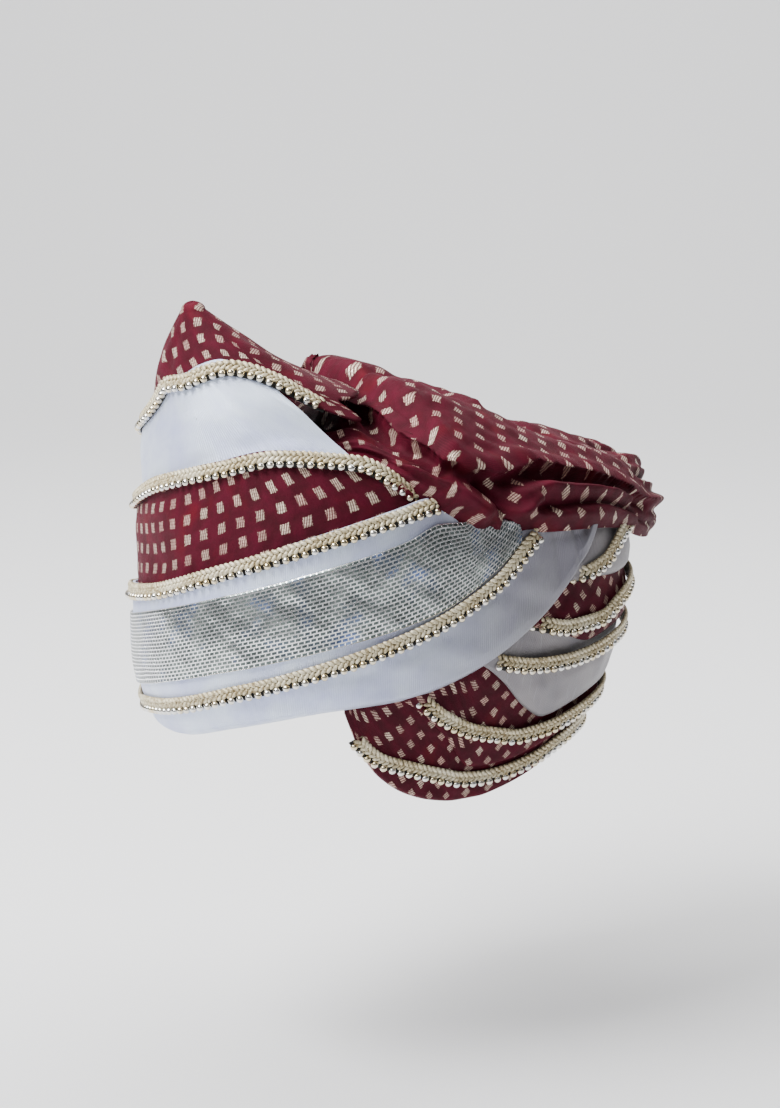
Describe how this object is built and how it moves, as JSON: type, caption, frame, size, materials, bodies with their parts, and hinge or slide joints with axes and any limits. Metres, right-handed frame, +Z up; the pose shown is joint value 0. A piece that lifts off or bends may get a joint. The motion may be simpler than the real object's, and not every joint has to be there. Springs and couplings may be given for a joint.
{
  "type": "tied turban pagri",
  "caption": "Pre-tied cloth turban with a tall pointed front, wrapped bands edged with braid and beads, a bunched crown cloth and a nape flap.",
  "frame": {"origin": "middle of the head opening at the height of the brow", "axes": "+Z up, -Y to the front, +X to the wearer's left"},
  "size_m": [0.1992, 0.2547, 0.2171],
  "materials": {
    "maroon_cloth": "soft cloth with woven gold squares",
    "silver_satin": "satin",
    "silver_mesh": "bright metallic mesh",
    "zari_lace": "metallic braid with small bright beads"
  },
  "bodies": {
    "root": {"peak_wrap": "maroon_cloth", "silver_wrap": "silver_satin", "maroon_wrap": "maroon_cloth", "front_silver_wrap": "silver_satin", "mesh_ribbon": "silver_mesh", "crown_cloth": "maroon_cloth", "nape_wrap_a": "maroon_cloth", "nape_wrap_b": "maroon_cloth", "nape_wrap_c": "silver_satin", "nape_wrap_d": "maroon_cloth", "nape_wrap_e": "silver_satin", "front_lace_1": "zari_lace", "front_lace_2": "zari_lace", "front_lace_3": "zari_lace", "front_lace_4": "zari_lace", "nape_lace_a": "zari_lace", "nape_lace_b": "zari_lace", "nape_lace_c": "zari_lace", "nape_lace_d": "zari_lace", "nape_lace_e": "zari_lace"}
  },
  "joints": []
}
